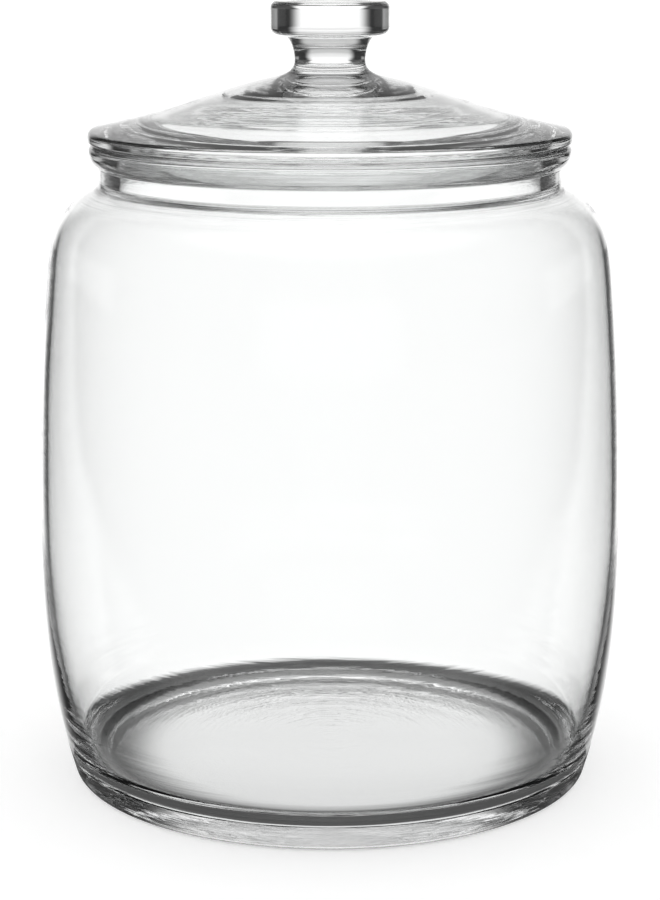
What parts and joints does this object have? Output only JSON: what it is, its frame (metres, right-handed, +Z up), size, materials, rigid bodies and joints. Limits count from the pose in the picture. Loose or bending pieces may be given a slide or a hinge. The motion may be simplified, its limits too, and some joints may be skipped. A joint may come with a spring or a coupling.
{
  "type": "lidded glass canister",
  "caption": "Barrel-shaped clear glass storage canister with a thick base, short neck and beaded rim, and a lift-off glass lid with a solid disc knob on a soft seal ring.",
  "frame": {"origin": "centre of the flat ring that the jar rests on", "axes": "+Z up along the common axis of jar, seal ring and lid; X and Y are level and interchangeable"},
  "size_m": [0.2364, 0.2364, 0.3147],
  "materials": {
    "jar_glass": "clear, fire-polished",
    "lid_glass": "clear, fire-polished",
    "seal": "translucent, satin"
  },
  "bodies": {
    "jar": {"jar": "jar_glass"},
    "seal": {"seal_ring": "seal"},
    "lid": {"lid": "lid_glass"}
  },
  "joints": [
    {"name": "lid_lift", "type": "slide", "parent": "jar", "child": "seal", "axis": [0, 0, 1], "range_m": [0, 0.2]},
    {"name": "lid_turn", "type": "hinge", "parent": "seal", "child": "lid", "pos_m": [0, 0, 0.259], "axis": [0, 0, 1], "continuous": true}
  ]
}
